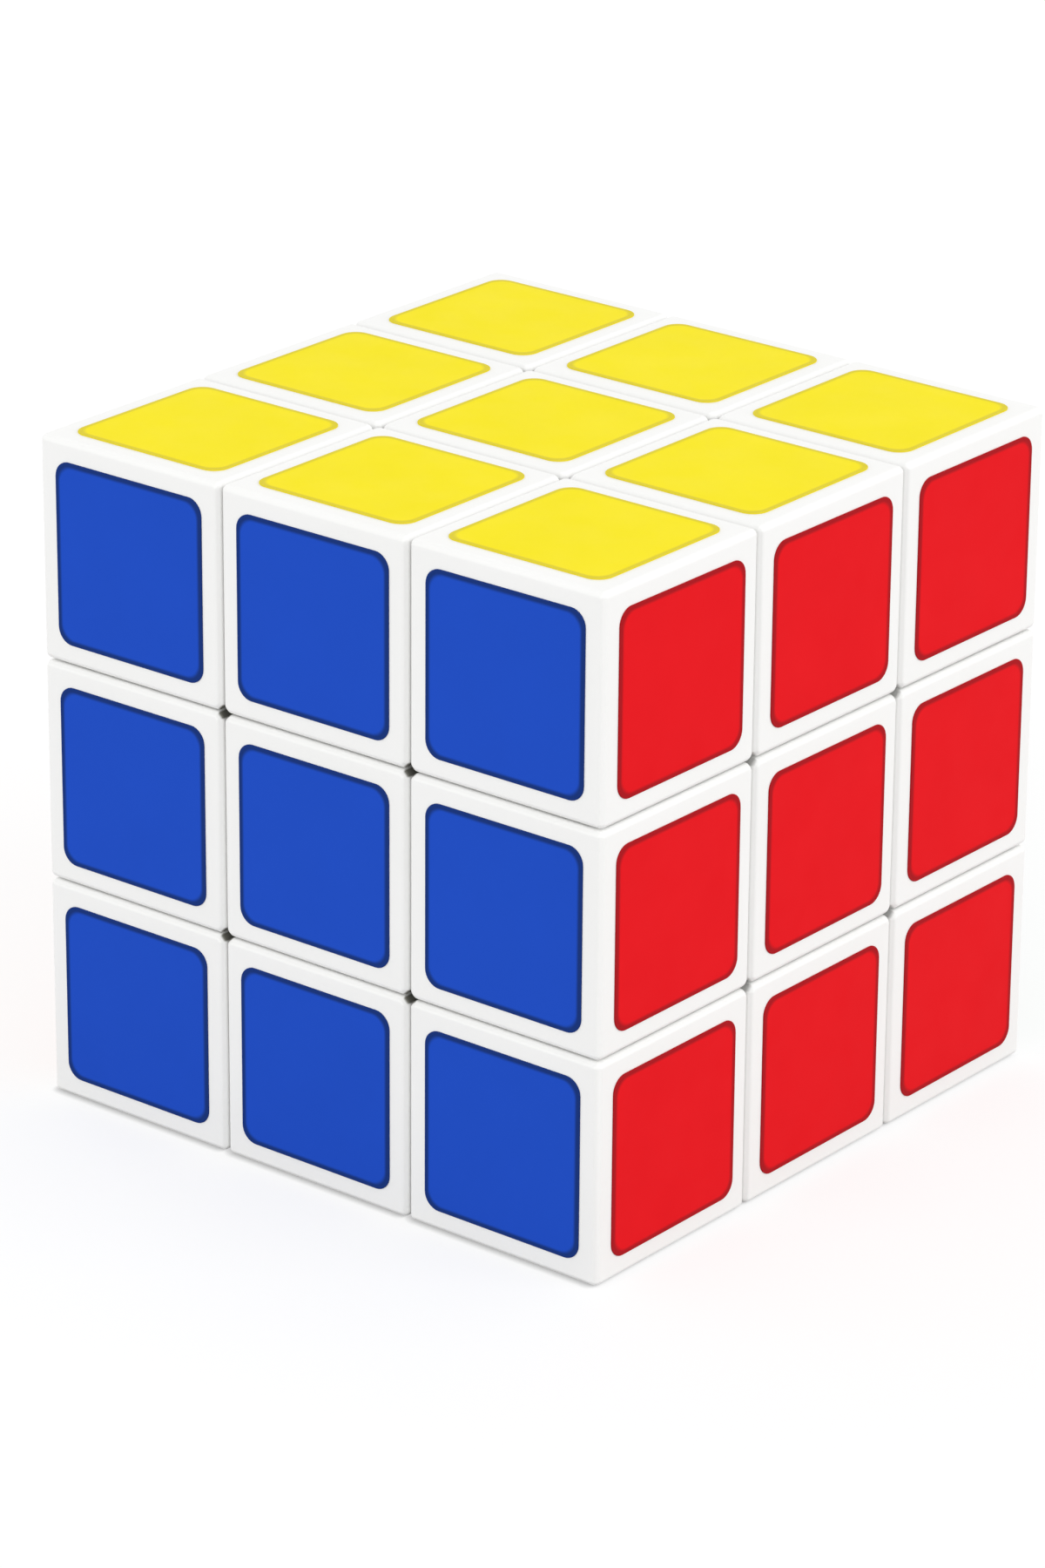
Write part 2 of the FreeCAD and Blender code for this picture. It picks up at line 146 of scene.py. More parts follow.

# In vinyl film: the patches that have lost a little colour, and how much; the patches of gloss and
# the roughnesses between which they vary; the orange peel's width and depth; between which shares of
# the rim its painted shade comes in; and its shine, which is set far below real vinyl's so that the
# colours stay deep under these lamps.
FADED_PATCH = 6 * MM
FADED_TO = 0.94
FILM_GLOSS_PATCH = 3 * MM
FILM_ROUGHNESS = (0.36, 0.46)
PEEL_WIDTH = 0.7 * MM
PEEL_DEPTH = 0.006 * MM
RIM_COMES_IN = (0.1, 0.65)
FILM_GLOSS = {"IOR": 1.5, "Specular_IOR_Level": 0.035}

# In steel: the width of its cloudy tone, and how deep the lines from drawing it are and how much
# closer they lie along Z than across it.
STEEL_CLOUDS = 1.5 * MM
LINE_DEPTH = 0.004 * MM
LINE_SQUEEZE = (1, 1, 6)

# The six faces: the axis that each looks along, which way, the turn that brings a sticker from
# lying face up to lying on it, and its colour.
QUARTER = math.pi / 2
FACES = {
    "up": (2, 1, (0, 0, 0), "yellow"),
    "down": (2, -1, (math.pi, 0, 0), "black"),
    "front": (1, -1, (QUARTER, 0, 0), "blue"),
    "back": (1, 1, (-QUARTER, 0, 0), "green"),
    "right": (0, 1, (0, QUARTER, 0), "red"),
    "left": (0, -1, (0, -QUARTER, 0), "orange"),
}

# For each film, its face colour and the darker colour painted on its cut and rolled rim as shade.
FILM_COLOURS = {
    "yellow": ("F9E706", "DCCB2C"),
    "blue": ("204FC5", "183478"),
    "red": ("E8151E", "A8151D"),
    "green": ("00904A", "00502B"),
    "orange": ("F6740C", "A8500A"),
    "black": ("17171A", "060608"),
}

WHITE = (1, 1, 1, 1)

# A mix node's sockets for colours go by number, because those for numbers and vectors share their
# names.
AMOUNT = 0
FIRST = 6
SECOND = 7
MIXED = 2

# The lamps, each with the direction it shines from, its distance, the side of its square and its
# watts. The key light stands beside the right-hand face. The other two lift the front, and the
# back and left.
KEY_LIGHT_FROM = (0.8, 0.24, 0.33)
LAMPS = {
    "key_light": (KEY_LIGHT_FROM, 1.2, 0.7, 5.6),
    "front_light": ((-0.15, -1.0, 0.2), 0.6, 0.35, 1.1),
    "back_light": ((-1.0, 0.5, 0.16), 1.2, 0.4, 3.2),
}

# The even light of the room, and the rays that see the floor and the room as plain white instead.
FILL_LIGHT = 0.85
SEEING_RAYS = ("Is Camera Ray", "Is Glossy Ray", "Is Transmission Ray")

# The white paper floor: its own pale grey, and what the viewer sees of it, which is a glow and a
# share of the light that falls on it, so that the cube's shadow stays. The glow sinks in the
# narrow gap under the cube's edges, and turns to pure white from the near distance to the far
# one.
FLOOR_SIDE = 8.0
PAPER_GREY = "BCBCBC"
FLOOR_GLOW = 0.77
FLOOR_SHADOW = 0.23
NEAR_FLOOR = 0.2
FAR_FLOOR = 0.5
CONTACT_GLOW = 0.3
CONTACT_REACH = 0.8 * MM
CLOSED = 0.35
OPEN = 0.85


def linear(hex_colour):
    """An sRGB hex colour as the linear colour that a shader takes."""
    parts = [int(hex_colour[i : i + 2], 16) / 255 for i in (0, 2, 4)]
    return (*[p / 12.92 if p <= 0.04045 else ((p + 0.055) / 1.055) ** 2.4 for p in parts], 1)


def add(tree, kind, inputs=None, **settings):
    """Adds a node, gives it its settings, and fills each input with a value or a link. A node stands
    for its first output, and a list goes into an input that takes several links."""
    node = tree.nodes.new(kind)
    for name, value in settings.items():
        setattr(node, name, value)
    for name, given in (inputs or {}).items():
        for value in given if isinstance(given, list) else [given]:
            if isinstance(value, bpy.types.Node):
                value = value.outputs[0]
            if isinstance(value, bpy.types.NodeSocket):
                tree.links.new(value, node.inputs[name])
            else:
                node.inputs[name].default_value = value
    return node


def lumps(place, size, detail):
    """A noise texture's inputs for lumps of that size, in metres, on the piece's own coordinates."""
    return {"Vector": place, "Scale": 1 / size, "Detail": detail, "Roughness": NOISE_ROUGHNESS}


def blank_material(name):
    """A material with an empty node tree, and its Object coordinates."""
    material = bpy.data.materials.new(name)
    material.use_nodes = True
    tree = material.node_tree
    tree.nodes.clear()
    return material, tree, add(tree, "ShaderNodeTexCoord").outputs["Object"]


def painted_channel_shade(tree, place):
    """How much painted shade a spot has, from 0 to 1: most in the channels between four cubies that
    run from front to back, a little in those that run from side to side, and none on the outside or
    deep in the cube."""
    out = add(tree, "ShaderNodeVectorMath", {0: place}, operation="ABSOLUTE")
    off = add(tree, "ShaderNodeVectorMath", {0: out, 1: (SEAM_AT,) * 3}, operation="SUBTRACT")
    away = add(tree, "ShaderNodeVectorMath", {0: off}, operation="ABSOLUTE")
    x, y, z = add(tree, "ShaderNodeSeparateXYZ", {0: away}).outputs
    border = {"From Min": CHANNEL_SIDE + SHADE_FADE, "From Max": CHANNEL_SIDE}
    painted_shade = 0.0
    for across, amount in ((x, 1.0), (y, SIDE_SHADE)):
        farther = add(tree, "ShaderNodeMath", {0: across, 1: z}, operation="MAXIMUM")
        beside = add(tree, "ShaderNodeMapRange", {"Value": farther, **border, "To Max": amount})
        painted_shade = add(tree, "ShaderNodeMath", {0: painted_shade, 1: beside}, operation="MAXIMUM")
    reach = 0.0
    for part in add(tree, "ShaderNodeSeparateXYZ", {0: out}).outputs:
        reach = add(tree, "ShaderNodeMath", {0: reach, 1: part}, operation="MAXIMUM")
    depth = add(tree, "ShaderNodeMath", {0: OUTSIDE_AT, 1: reach}, operation="SUBTRACT")
    for unshaded, shaded in ((SHADE_TOP, SHADE_TOP + SHADE_FADE), (SHADE_GONE_AT, SHADE_WHOLE_TO)):
        spread = {"Value": depth, "From Min": unshaded, "From Max": shaded}
        inside = add(tree, "ShaderNodeMapRange", spread)
        painted_shade = add(tree, "ShaderNodeMath", {0: painted_shade, 1: inside}, operation="MULTIPLY")
    return painted_shade


def finish_surface(tree, colour, patches, roughness, height, depth, **fixed):
    """Ends a material: its roughness varies with the patches between two values, and its relief is
    as deep as that, in metres. The fixed numbers go on the shader's own sockets."""
    spread = {"From Min": NOISE_LOW, "From Max": NOISE_HIGH, "To Min": roughness[0]}
    rough = add(tree, "ShaderNodeMapRange", {"Value": patches, "To Max": roughness[1], **spread})
    bumps = {"Strength": RELIEF_STRENGTH, "Distance": depth, "Height": height}
    relief = add(tree, "ShaderNodeBump", bumps)
    inputs = {"Base Color": colour, "Roughness": rough, "Normal": relief}
    inputs.update({name.replace("_", " "): value for name, value in fixed.items()})
    surface = add(tree, "ShaderNodeBsdfPrincipled", inputs)
    add(tree, "ShaderNodeOutputMaterial", {"Surface": surface})


def moulded_plastic(name, light, shade, roughness, spark_grain, painted_shade=None, **fixed):
    """A pigmented plastic from a spark-eroded steel mould."""
    material, tree, place = blank_material(name)
    flow = add(tree, "ShaderNodeTexNoise", lumps(place, PIGMENT_FLOW, 2))
    tones = {AMOUNT: flow, FIRST: linear(light), SECOND: linear(shade)}
    colour = add(tree, "ShaderNodeMix", tones, data_type="RGBA").outputs[MIXED]
    # Where seams cross, the colour is darkened as painted shade.
    if painted_shade:
        tones = {AMOUNT: painted_channel_shade(tree, place), FIRST: colour, SECOND: linear(painted_shade)}
        colour = add(tree, "ShaderNodeMix", tones, data_type="RGBA").outputs[MIXED]
    patches = add(tree, "ShaderNodeTexNoise", lumps(place, GLOSS_PATCH, 3))
    sparks = add(tree, "ShaderNodeTexNoise", lumps(place, spark_grain, 2))
    finish_surface(tree, colour, patches, roughness, sparks, SPARK_DEPTH, **fixed)
    return material


def vinyl_film(name, face, rim):
    """Calendered vinyl film, die cut: an even colour with a faint orange peel and a soft, low gloss,
    and a darker line all round, painted shade where the die rolls the film's edge over."""
    material, tree, place = blank_material(name)
    faded = (*[part * FADED_TO for part in linear(face)[:3]], 1)
    fading = add(tree, "ShaderNodeTexNoise", lumps(place, FADED_PATCH, 2))
    tones = {AMOUNT: fading, FIRST: linear(face), SECOND: faded}
    worn = add(tree, "ShaderNodeMix", tones, data_type="RGBA").outputs[MIXED]
    # The rim's darker colour is painted shade.
    edge = add(tree, "ShaderNodeAttribute", attribute_name="rim").outputs["Fac"]
    spread = {"Value": edge, "From Min": RIM_COMES_IN[0], "From Max": RIM_COMES_IN[1]}
    line = add(tree, "ShaderNodeMapRange", spread, interpolation_type="SMOOTHSTEP")
    tones = {AMOUNT: line, FIRST: worn, SECOND: linear(rim)}
    colour = add(tree, "ShaderNodeMix", tones, data_type="RGBA").outputs[MIXED]
    patches = add(tree, "ShaderNodeTexNoise", lumps(place, FILM_GLOSS_PATCH, 2))
    peel = add(tree, "ShaderNodeTexNoise", lumps(place, PEEL_WIDTH, 1))
    finish_surface(tree, colour, patches, FILM_ROUGHNESS, peel, PEEL_DEPTH, **FILM_GLOSS)
    return material


def drawn_steel(name, light, shade, roughness, scratch):
    """Bright steel wire or bar: a grey mirror, blurred by fine lines from drawing and turning it."""
    material, tree, place = blank_material(name)
    clouds = add(tree, "ShaderNodeTexNoise", lumps(place, STEEL_CLOUDS, 2))
    tones = {AMOUNT: clouds, FIRST: linear(light), SECOND: linear(shade)}
    colour = add(tree, "ShaderNodeMix", tones, data_type="RGBA").outputs[MIXED]
    along = add(tree, "ShaderNodeMapping", {"Vector": place, "Scale": LINE_SQUEEZE})
    lines = add(tree, "ShaderNodeTexNoise", lumps(along, scratch, 3))
    finish_surface(tree, colour, lines, roughness, lines, LINE_DEPTH, Metallic=1)
    return material


# ABS is a milky white, and its mould leaves a satin skin whose reflections are wide and soft. The
# mould's real grain, about 0.05 mm, is drawn at 0.3 mm so that it shows. Each crossing of two seams
# shows as a dark dot, which is painted shade in the channels between cubies.
white_abs = moulded_plastic(
    "white_abs", "F6F6F5", "F3F3F1", (0.34, 0.44), 0.3 * MM, painted_shade="7B7A72", IOR=1.53
)

# Unpainted nylon is duller and a little creamier than ABS, and takes more of the mould's grain.
white_nylon = moulded_plastic("white_nylon", "E4E2DA", "DAD8CF", (0.5, 0.62), 0.4 * MM, IOR=1.53)

# Zinc plating gives the screws a bright, slightly blue grey. Spring wire is darker and smoother.
zinc_plated_steel = drawn_steel("zinc_plated_steel", "C9CCD2", "AEB2B9", (0.26, 0.4), 0.25 * MM)
spring_wire_steel = drawn_steel("spring_wire_steel", "B4B3B0", "96958F", (0.18, 0.3), 0.2 * MM)

FILMS = {
    colour: vinyl_film("vinyl_film_" + colour, face, rim)
    for colour, (face, rim) in FILM_COLOURS.items()
}

HIDDEN_FINISHES = {
    "core": white_nylon,
    "core_screws": zinc_plated_steel,
    "centre_springs": spring_wire_steel,
}


def round_bevels(node):
    """Softens a cubie's flat bevels into the rounding of a moulded edge."""
    weld = node.modifiers.new("one_skin", "WELD")
    weld.merge_threshold = SAME_CORNER
    flats = node.modifiers.new("whole_flats", "DECIMATE")
    flats.decimate_type = "DISSOLVE"
    flats.angle_limit = FLAT_ANGLE
    rounding = node.modifiers.new("rounding", "BEVEL")
    rounding.width = ROUNDING
    rounding.segments = ROUNDING_STEPS
    rounding.limit_method = "ANGLE"
    rounding.angle_limit = BEVELLED_ANGLE
    rounding.harden_normals = True


for name, node in frame["nodes"].items():
    for slot in node.material_slots:
        slot.material = HIDDEN_FINISHES.get(name, white_abs)
    if name.endswith(("_shell", "_cap")):
        round_bevels(node)


def new_tree(name, sockets):
    """An empty tree of geometry nodes with those inputs, and the outputs of its input node."""
    tree = bpy.data.node_groups.new(name, "GeometryNodeTree")
    for label, kind in sockets.items():
        tree.interface.new_socket(label, in_out="INPUT", socket_type="NodeSocket" + kind)
    tree.interface.new_socket("Made", in_out="OUTPUT", socket_type="NodeSocketGeometry")
    return tree, add(tree, "NodeGroupInput").outputs


def put_at(tree, piece, points, rotation, finish):
    """Ends a tree: the piece at every point, made real and given its material."""
    inputs = {"Points": points, "Instance": piece, "Rotation": rotation}
    placed = add(tree, "GeometryNodeInstanceOnPoints", inputs)
    real = add(tree, "GeometryNodeRealizeInstances", {"Geometry": placed})
    done = add(tree, "GeometryNodeSetMaterial", {"Geometry": real, "Material": finish})
    add(tree, "NodeGroupOutput", {0: done})


def sticker_tree():
    """Geometry nodes for one sticker: a die-cut square with a rolled edge, put on a cubie's face.
    Its rim attribute runs from 1 at the edge to 0 on the face."""
    sockets = {
        "Width": "Float",
        "Corner": "Float",
        "Corner Steps": "Int",
        "Film": "Float",
        "Rolled Edge": "Float",
        "Rim": "Float",
        "Place": "Vector",
        "Turn": "Rotation",
        "Finish": "Material",
    }
    tree, given = new_tree("die_cut_sticker", sockets)

    def inset(mesh, top, lift, margin):
        """Raises the top face and draws its outline in by the margin. Returns both again."""
        inputs = {"Mesh": mesh, "Selection": top, "Offset Scale": lift}
        raised = add(tree, "GeometryNodeExtrudeMesh", inputs)
        both = add(tree, "ShaderNodeMath", {0: margin, 1: 2.0}, operation="MULTIPLY")
        part = add(tree, "ShaderNodeMath", {0: both, 1: given["Width"]}, operation="DIVIDE")
        smaller = add(tree, "ShaderNodeMath", {0: 1.0, 1: part}, operation="SUBTRACT")
        top = raised.outputs["Top"]
        inputs = {"Geometry": raised, "Selection": top, "Scale": smaller}
        return add(tree, "GeometryNodeScaleElements", inputs, domain="FACE"), top

    square = add(
        tree,
        "GeometryNodeCurvePrimitiveQuadrilateral",
        {"Width": given["Width"], "Height": given["Width"]},
    )
    outline = add(
        tree,
        "GeometryNodeFilletCurve",
        {"Curve": square, "Radius": given["Corner"], "Count": given["Corner Steps"]},
        mode="POLY",
    )
    sheet = add(tree, "GeometryNodeFillCurve", {"Curve": outline}, mode="NGONS")
    wall = add(
        tree,
        "GeometryNodeExtrudeMesh",
        {"Mesh": sheet, "Offset Scale": given["Film"], "Individual": False},
    )
    edge = given["Rolled Edge"]
    rolled, top = inset(wall, wall.outputs["Top"], edge, edge)
    rimmed = add(
        tree,
        "GeometryNodeStoreNamedAttribute",
        {"Geometry": rolled, "Name": "rim", "Value": 1.0},
        data_type="FLOAT",
        domain="POINT",
    )
    framed, face = inset(rimmed, top, 0.0, given["Rim"])
    faced = add(
        tree,
        "GeometryNodeStoreNamedAttribute",
        {"Geometry": framed, "Selection": face, "Name": "rim", "Value": 0.0},
        data_type="FLOAT",
        domain="POINT",
    )
    underside = add(tree, "GeometryNodeFlipFaces", {"Mesh": sheet})
    whole = add(tree, "GeometryNodeJoinGeometry", {0: [faced, underside]})
    welded = {"Geometry": whole, "Distance": SAME_CORNER}
    closed = add(tree, "GeometryNodeMergeByDistance", welded)
    spot = add(tree, "GeometryNodePoints", {"Count": 1, "Position": given["Place"]})
    put_at(tree, closed, spot, given["Turn"], given["Finish"])
    return tree


def put_on_six_sides(tree, piece, distance, finish):
    """Ends a tree: the piece, whose foot is at the origin, that far out along each of the axes."""
    across = add(tree, "ShaderNodeMath", {0: distance, 1: 2.0}, operation="MULTIPLY")
    cube = add(tree, "GeometryNodeMeshCube", {"Size": across})
    sides = add(tree, "GeometryNodeMeshToPoints", {"Mesh": cube}, mode="FACES")
    here = add(tree, "GeometryNodeInputPosition")
    outwards = add(tree, "FunctionNodeAlignRotationToVector", {"Vector": here}, axis="Z")
    put_at(tree, piece, sides, outwards, finish)


def helix(tree, radius, turns, height, steps, section):
    """A coil of wire of that section, with its ends closed."""
    inputs = {"Start Radius": radius, "End Radius": radius, "Resolution": steps}
    inputs.update({"Rotations": turns, "Height": height})
    path = add(tree, "GeometryNodeCurveSpiral", inputs)
    inputs = {"Curve": path, "Profile Curve": section, "Fill Caps": True}
    return add(tree, "GeometryNodeCurveToMesh", inputs)


def coil_tree():
    """Geometry nodes for the springs: a coil of round wire on each of the six sides."""
    sockets = {
        "Seat": "Float",
        "Length": "Float",
        "Coil Radius": "Float",
        "Wire Radius": "Float",
        "Turns": "Float",
        "Steps": "Int",
        "Wire Sides": "Int",
        "Finish": "Material",
    }
    tree, given = new_tree("coil_springs", sockets)
    inputs = {"Resolution": given["Wire Sides"], "Radius": given["Wire Radius"]}
    wire = add(tree, "GeometryNodeCurvePrimitiveCircle", inputs)
    sizes = [given[name] for name in ("Coil Radius", "Turns", "Length", "Steps")]
    coil = add(tree, "GeometryNodeSetShadeSmooth", {"Geometry": helix(tree, *sizes, wire)})
    put_on_six_sides(tree, coil, given["Seat"], given["Finish"])
    return tree


def moved(tree, mesh, height, stretch=1.0):
    """The mesh raised to a height and stretched along the same axis."""
    lift = add(tree, "ShaderNodeCombineXYZ", {2: height})
    scale = add(tree, "ShaderNodeCombineXYZ", {0: 1.0, 1: 1.0, 2: stretch})
    inputs = {"Geometry": mesh, "Translation": lift, "Scale": scale}
    return add(tree, "GeometryNodeTransform", inputs)


def screw_tree():
    """Geometry nodes for the screws: a domed head with a cross in it, over a threaded shank, on
    each of the six sides. Each one's foot is its tip."""
    sockets = {
        "Tip": "Float",
        "Seat": "Float",
        "Shank Radius": "Float",
        "Head Radius": "Float",
        "Head Height": "Float",
        "Thread Length": "Float",
        "Thread Turns": "Float",
        "Thread Depth": "Float",
        "Cross Length": "Float",
        "Cross Width": "Float",
        "Cross Depth": "Float",
        "Sides": "Int",
        "Finish": "Material",
    }
    tree, given = new_tree("pan_head_screws", sockets)
    radius, sides = given["Head Radius"], given["Sides"]
    length = add(tree, "ShaderNodeMath", {0: given["Seat"], 1: given["Tip"]}, operation="SUBTRACT")
    middle = add(tree, "ShaderNodeMath", {0: length, 1: 0.5}, operation="MULTIPLY")
    inputs = {"Vertices": sides, "Radius": given["Shank Radius"], "Depth": length}
    shank = moved(tree, add(tree, "GeometryNodeMeshCylinder", inputs), middle)

    # The thread is a ridge of triangular section, wound round the shank from its tip.
    inputs = {"Resolution": 3, "Radius": given["Thread Depth"]}
    ridge = add(tree, "GeometryNodeCurvePrimitiveCircle", inputs)
    sizes = [given[name] for name in ("Shank Radius", "Thread Turns", "Thread Length", "Sides")]
    thread = moved(tree, helix(tree, *sizes, ridge), given["Thread Depth"])

    # The head is a flattened ball. Two bars cut the cross into it, and a wide block cuts off its
    # lower half.
    inputs = {"Segments": sides, "Rings": sides, "Radius": radius}
    ball = add(tree, "GeometryNodeMeshUVSphere", inputs)
    height = given["Head Height"]
    flatness = add(tree, "ShaderNodeMath", {0: height, 1: radius}, operation="DIVIDE")
    dome = moved(tree, ball, length, flatness)
    top = add(tree, "ShaderNodeMath", {0: length, 1: height}, operation="ADD")
    deep = add(tree, "ShaderNodeMath", {0: given["Cross Depth"], 1: 2.0}, operation="MULTIPLY")
    wide = add(tree, "ShaderNodeMath", {0: radius, 1: 3.0}, operation="MULTIPLY")
    half = add(tree, "ShaderNodeMath", {0: wide, 1: 0.5}, operation="MULTIPLY")
    below = add(tree, "ShaderNodeMath", {0: length, 1: half}, operation="SUBTRACT")
    cuts = []
    for x, y, z, at in (
        (given["Cross Length"], given["Cross Width"], deep, top),
        (given["Cross Width"], given["Cross Length"], deep, top),
        (wide, wide, wide, below),
    ):
        size = add(tree, "ShaderNodeCombineXYZ", {0: x, 1: y, 2: z})
        cuts.append(moved(tree, add(tree, "GeometryNodeMeshCube", {"Size": size}), at))
    inputs = {"Mesh 1": dome, "Mesh 2": cuts}
    head = add(tree, "GeometryNodeMeshBoolean", inputs, solver="EXACT")

    # Its round faces shade as smooth, and its sharp edges stay sharp.
    whole = add(tree, "GeometryNodeJoinGeometry", {0: [shank, thread, head]})
    smooth = add(tree, "GeometryNodeSetShadeSmooth", {"Geometry": whole})
    turn = add(tree, "GeometryNodeInputMeshEdgeAngle").outputs["Unsigned Angle"]
    sharp = add(tree, "ShaderNodeMath", {0: turn, 1: BEVELLED_ANGLE}, operation="GREATER_THAN")
    inputs = {"Geometry": smooth, "Selection": sharp, "Shade Smooth": False}
    creased = add(tree, "GeometryNodeSetShadeSmooth", inputs, domain="EDGE")
    put_on_six_sides(tree, creased, given["Tip"], given["Finish"])
    return tree


def plain_mesh(name, tree, values):
    """What the tree makes from those values, as a plain mesh object."""
    piece = bpy.data.objects.new(name, bpy.data.meshes.new(name))
    bpy.context.scene.collection.objects.link(piece)
    modifier = piece.modifiers.new("made", "NODES")
    modifier.node_group = tree
    for socket in tree.interface.items_tree:
        if socket.in_out == "INPUT":
            modifier[socket.identifier] = values[socket.name]
    evaluated = piece.evaluated_get(bpy.context.evaluated_depsgraph_get())
    mesh = bpy.data.meshes.new_from_object(evaluated)
    piece.modifiers.remove(modifier)
    piece.data = mesh
    return piece


STICKER_SIZES = {
    "Width": STICKER_WIDTH,
    "Corner": STICKER_CORNER,
    "Corner Steps": CORNER_STEPS,
    "Film": STICKER_FILM + STICKER_PRESSED_IN - STICKER_ROLLED_EDGE,
    "Rolled Edge": STICKER_ROLLED_EDGE,
    "Rim": STICKER_RIM,
}


def outward(corners, axis, way):
    """How far a box of two corners reaches that way along that axis."""
    return corners[way > 0][axis] * way


def stick_on(tree, body, node_name, face):
    """One sticker on the outer face of a shell or cap, riding on its body."""
    axis, way, turn, colour = FACES[face]
    low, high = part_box(node_name)
    place = (Vector(low) + Vector(high)) / 2
    place[axis] = way * (outward((low, high), axis, way) - STICKER_PRESSED_IN)
    values = {"Place": place, "Turn": Euler(turn), "Finish": FILMS[colour], **STICKER_SIZES}
    sticker = plain_mesh(f"sticker_{colour}_{body}", tree, values)
    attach(sticker, body)


stickers = sticker_tree()
for body, nodes in frame["record"]["behaviour"]["bodies"].items():
    for node_name in nodes:
        if not node_name.endswith(("_shell", "_cap")):
            continue
        for face, (axis, way, _, _) in FACES.items():
            reach = outward(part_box(node_name), axis, way)
            if abs(reach - outward((cad_low, cad_high), axis, way)) < SAME_CORNER:
                stick_on(stickers, body, node_name, face)


coils = plain_mesh(
    "spring_coils",
    coil_tree(),
    {
        "Seat": COIL_SEAT + COIL_WIRE / 2,
        "Length": COIL_LENGTH - COIL_WIRE,
        "Coil Radius": (COIL_WIDTH - COIL_WIRE) / 2,
        "Wire Radius": COIL_WIRE / 2,
        "Turns": COIL_TURNS,
        "Steps": COIL_STEPS,
        "Wire Sides": WIRE_SIDES,
        "Finish": spring_wire_steel,
    },
)
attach(coils, "core")
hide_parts("centre_springs")

screws = plain_mesh(
    "threaded_screws",
    screw_tree(),
    {
        "Tip": SCREW_TIP,
        "Seat": SCREW_SEAT,
        "Shank Radius": SHANK_WIDTH / 2,
        "Head Radius": HEAD_WIDTH / 2,
        "Head Height": HEAD_HEIGHT,
        "Thread Length": THREAD_LENGTH,
        "Thread Turns": THREAD_LENGTH / THREAD_PITCH,
        "Thread Depth": THREAD_DEPTH,
        "Cross Length": CROSS_LENGTH,
        "Cross Width": CROSS_WIDTH,
        "Cross Depth": CROSS_DEPTH,
        "Sides": SCREW_SIDES,
        "Finish": zinc_plated_steel,
    },
)
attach(screws, "core")
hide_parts("core_screws")


def looked_at(tree):
    """1 for the rays that see the room and the floor, and 0 for those that only light."""
    path = add(tree, "ShaderNodeLightPath")
    seen = 0.0
    for kind in SEEING_RAYS:
        seen = add(tree, "ShaderNodeMath", {0: seen, 1: path.outputs[kind]}, operation="MAXIMUM")
    return seen


def studio_room():
    """An even light from all round, which shows as plain white."""
    world = bpy.data.worlds.new("white_studio")
    bpy.context.scene.world = world
    world.use_nodes = True
    tree = world.node_tree
    tree.nodes.clear()
    fill = add(tree, "ShaderNodeBackground", {"Color": WHITE, "Strength": FILL_LIGHT})
    backdrop = add(tree, "ShaderNodeBackground", {"Color": WHITE, "Strength": 1.0})
    room = add(tree, "ShaderNodeMixShader", {0: looked_at(tree), 1: fill, 2: backdrop})
    add(tree, "ShaderNodeOutputWorld", {"Surface": room})


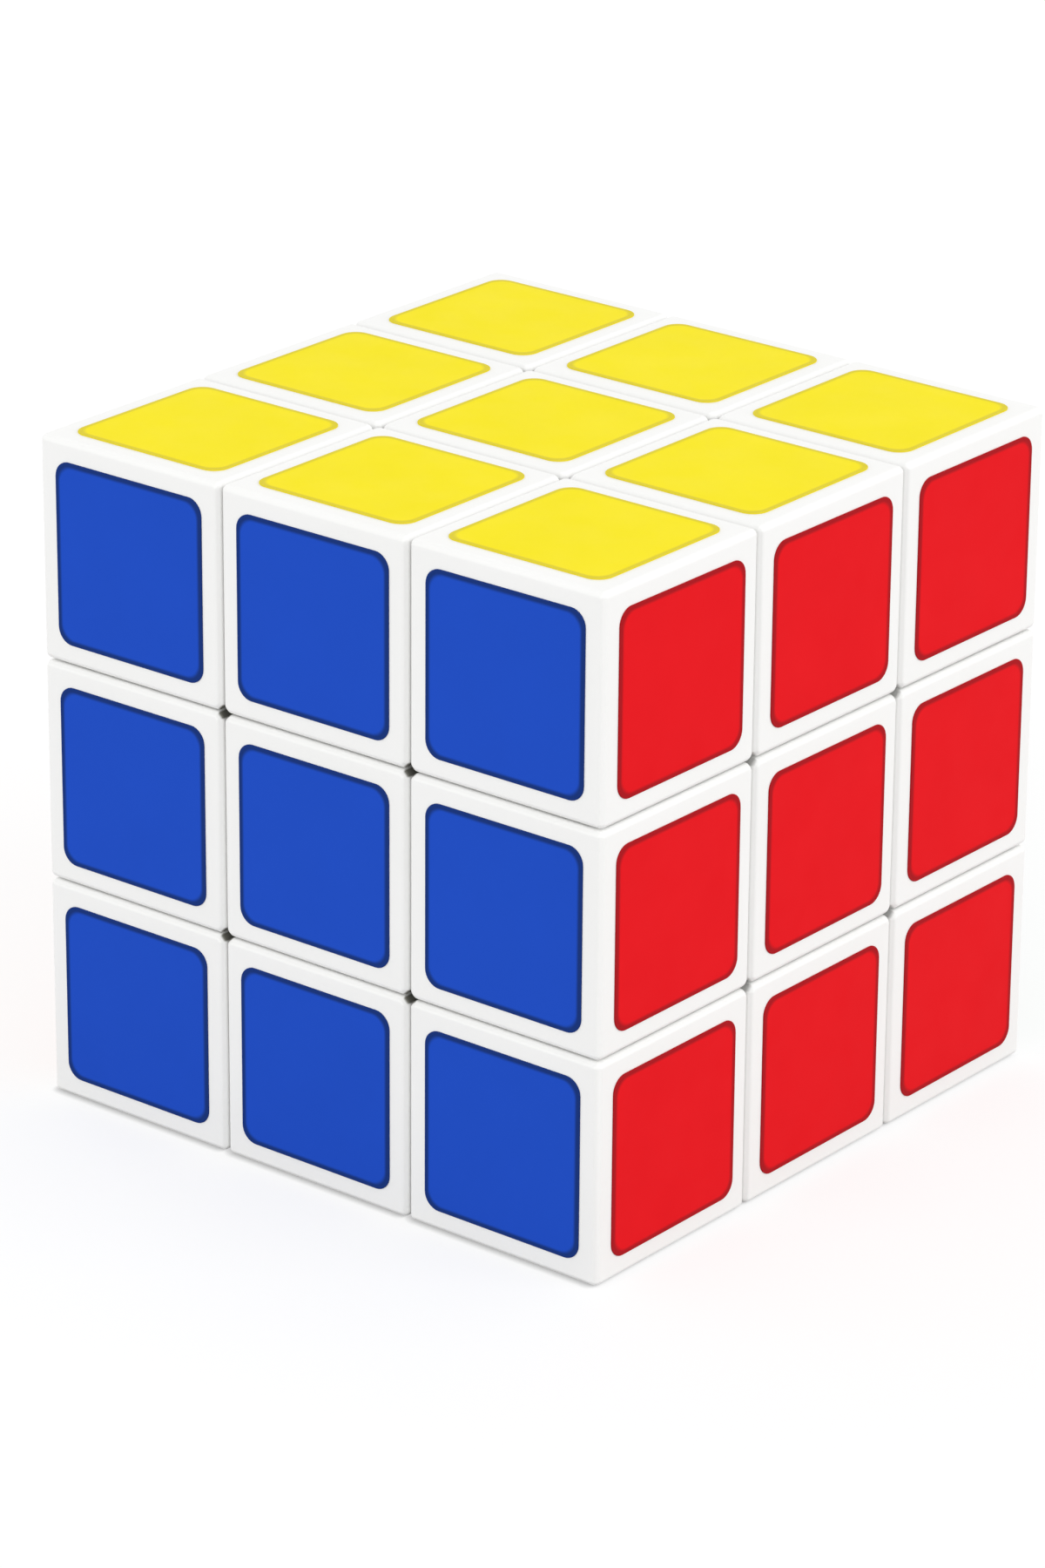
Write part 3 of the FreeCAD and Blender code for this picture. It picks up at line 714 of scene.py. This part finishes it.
def studio_floor(height):
    """A wide sheet of white paper under the cube, which shows as white and still takes its shadow.
    From below it is clear."""
    half = FLOOR_SIDE / 2
    mesh = bpy.data.meshes.new("floor")
    corners = ((-half, -half), (half, -half), (half, half), (-half, half))
    mesh.from_pydata([(x, y, height) for x, y in corners], [], [(0, 1, 2, 3)])
    floor = bpy.data.objects.new("floor", mesh)
    bpy.context.scene.collection.objects.link(floor)
    paper, tree, place = blank_material("white_paper")
    lit_from = dict(enumerate(Vector(KEY_LIGHT_FROM).normalized()))
    gap = {"Distance": CONTACT_REACH, "Normal": add(tree, "ShaderNodeCombineXYZ", lit_from)}
    opening = add(tree, "ShaderNodeAmbientOcclusion", gap).outputs["AO"]
    spread = {"From Min": CLOSED, "From Max": OPEN, "To Min": CONTACT_GLOW, "To Max": FLOOR_GLOW}
    near = add(tree, "ShaderNodeMapRange", {"Value": opening, **spread})
    reach = add(tree, "ShaderNodeVectorMath", {0: place}, operation="LENGTH").outputs["Value"]
    spread = {"From Min": NEAR_FLOOR, "From Max": FAR_FLOOR, "To Min": near, "To Max": 1.0}
    strength = add(tree, "ShaderNodeMapRange", {"Value": reach, **spread})
    glow = add(tree, "ShaderNodeEmission", {"Color": WHITE, "Strength": strength})
    shadowed = add(tree, "ShaderNodeBsdfDiffuse", {"Color": (*(FLOOR_SHADOW,) * 3, 1)})
    shown = add(tree, "ShaderNodeAddShader", {0: glow, 1: shadowed})
    plain = add(tree, "ShaderNodeBsdfDiffuse", {"Color": linear(PAPER_GREY)})
    upper = add(tree, "ShaderNodeMixShader", {0: looked_at(tree), 1: plain, 2: shown})
    clear = add(tree, "ShaderNodeBsdfTransparent")
    under = add(tree, "ShaderNodeNewGeometry").outputs["Backfacing"]
    sheet = add(tree, "ShaderNodeMixShader", {0: under, 1: upper, 2: clear})
    add(tree, "ShaderNodeOutputMaterial", {"Surface": sheet})
    mesh.materials.append(paper)
    floor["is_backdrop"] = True


def softbox(name, direction, distance, side, watts):
    """A square lamp that looks at the cube's middle from that direction."""
    lamp = bpy.data.objects.new(name, bpy.data.lights.new(name, "AREA"))
    bpy.context.scene.collection.objects.link(lamp)
    lamp.data.shape = "SQUARE"
    lamp.data.size = side
    lamp.data.energy = watts
    towards = Vector(direction).normalized()
    lamp.location = towards * distance
    lamp.rotation_mode = "QUATERNION"
    lamp.rotation_quaternion = towards.to_track_quat("Z", "Y")
    return lamp


studio_room()
studio_floor(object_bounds()[0].z)
lamps = {name: softbox(name, *values) for name, values in LAMPS.items()}

# Its mirror image would lie along the top's stickers and bleach them.
lamps["back_light"].visible_glossy = False

scene = bpy.context.scene
scene.view_settings.view_transform = "Standard"

camera = bpy.data.objects.new("camera", bpy.data.cameras.new("camera"))
scene.collection.objects.link(camera)
scene.camera = camera
camera.data.sensor_width = FILM_MM
camera.data.lens = LENS_MM
camera.data.shift_x = SHIFT_X
camera.data.shift_y = SHIFT_Y
azimuth, elevation = math.radians(VIEW_AZIMUTH), math.radians(VIEW_ELEVATION)
towards_viewer = Vector(
    (
        math.sin(azimuth) * math.cos(elevation),
        -math.cos(azimuth) * math.cos(elevation),
        math.sin(elevation),
    )
)
camera.location = towards_viewer * VIEW_DISTANCE
camera.rotation_mode = "QUATERNION"
level = (-towards_viewer).to_track_quat("-Z", "Y")
camera.rotation_quaternion = level @ Quaternion((0, 0, 1), math.radians(VIEW_ROLL))
